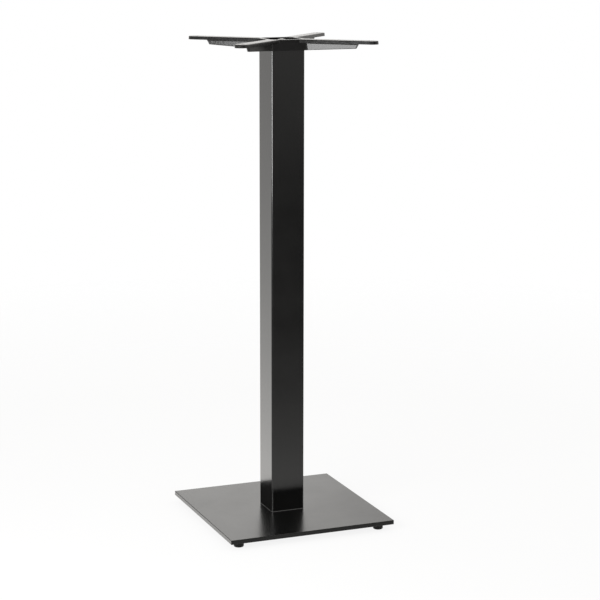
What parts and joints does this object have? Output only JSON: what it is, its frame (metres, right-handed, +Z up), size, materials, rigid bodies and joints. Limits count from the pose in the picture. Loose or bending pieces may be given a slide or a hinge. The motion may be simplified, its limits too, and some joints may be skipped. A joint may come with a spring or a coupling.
{
  "type": "bar table base",
  "caption": "Bar-height table base: flat square steel plate on levelling feet, square tube column and a ribbed cross-shaped spider on top that a table top is screwed to.",
  "frame": {"origin": "on the floor, on the column's axis, under the middle of the base plate", "axes": "+X along the plate's front edge to the right, +Y to the back, +Z up along the column"},
  "size_m": [0.4, 0.4, 1.123],
  "materials": {
    "plate_paint": "satin",
    "column_paint": "satin",
    "spider_paint": "satin black paint",
    "zinc_steel": "zinc plated",
    "stud_steel": "zinc plated",
    "pad_plastic": "matte"
  },
  "bodies": {
    "base": {"base_plate": "plate_paint", "column_tube": "column_paint", "spider": "spider_paint", "tie_rod": "zinc_steel", "rod_lower_washer": "zinc_steel", "rod_lower_nut": "zinc_steel", "rod_locator_washer": "zinc_steel", "rod_locator_nut": "zinc_steel", "rod_upper_washer": "zinc_steel", "rod_upper_nut": "zinc_steel", "column_locator": "zinc_steel", "locator_pin_left": "zinc_steel", "locator_pin_right": "zinc_steel"},
    "pad_fl": {"foot_pad_fl": "pad_plastic"},
    "stud_fl": {"foot_stud_fl": "stud_steel"},
    "pad_fr": {"foot_pad_fr": "pad_plastic"},
    "stud_fr": {"foot_stud_fr": "stud_steel"},
    "pad_bl": {"foot_pad_bl": "pad_plastic"},
    "stud_bl": {"foot_stud_bl": "stud_steel"},
    "pad_br": {"foot_pad_br": "pad_plastic"},
    "stud_br": {"foot_stud_br": "stud_steel"}
  },
  "joints": [
    {"name": "foot_travel_fl", "type": "slide", "parent": "base", "child": "pad_fl", "axis": [0, 0, -1], "range_m": [0, 0.004]},
    {"name": "foot_turn_fl", "type": "hinge", "parent": "pad_fl", "child": "stud_fl", "pos_m": [-0.172, -0.172, 0.009], "axis": [0, 0, -1], "range_deg": [0, 1152]},
    {"name": "foot_travel_fr", "type": "slide", "parent": "base", "child": "pad_fr", "axis": [0, 0, -1], "range_m": [0, 0.004]},
    {"name": "foot_turn_fr", "type": "hinge", "parent": "pad_fr", "child": "stud_fr", "pos_m": [0.172, -0.172, 0.009], "axis": [0, 0, -1], "range_deg": [0, 1152]},
    {"name": "foot_travel_bl", "type": "slide", "parent": "base", "child": "pad_bl", "axis": [0, 0, -1], "range_m": [0, 0.004]},
    {"name": "foot_turn_bl", "type": "hinge", "parent": "pad_bl", "child": "stud_bl", "pos_m": [-0.172, 0.172, 0.009], "axis": [0, 0, -1], "range_deg": [0, 1152]},
    {"name": "foot_travel_br", "type": "slide", "parent": "base", "child": "pad_br", "axis": [0, 0, -1], "range_m": [0, 0.004]},
    {"name": "foot_turn_br", "type": "hinge", "parent": "pad_br", "child": "stud_br", "pos_m": [0.172, 0.172, 0.009], "axis": [0, 0, -1], "range_deg": [0, 1152]}
  ],
  "couplings": [
    {"joint": "foot_turn_fl", "follows": "foot_travel_fl", "rad_per_m": 5026.5},
    {"joint": "foot_turn_fr", "follows": "foot_travel_fr", "rad_per_m": 5026.5},
    {"joint": "foot_turn_bl", "follows": "foot_travel_bl", "rad_per_m": 5026.5},
    {"joint": "foot_turn_br", "follows": "foot_travel_br", "rad_per_m": 5026.5}
  ]
}
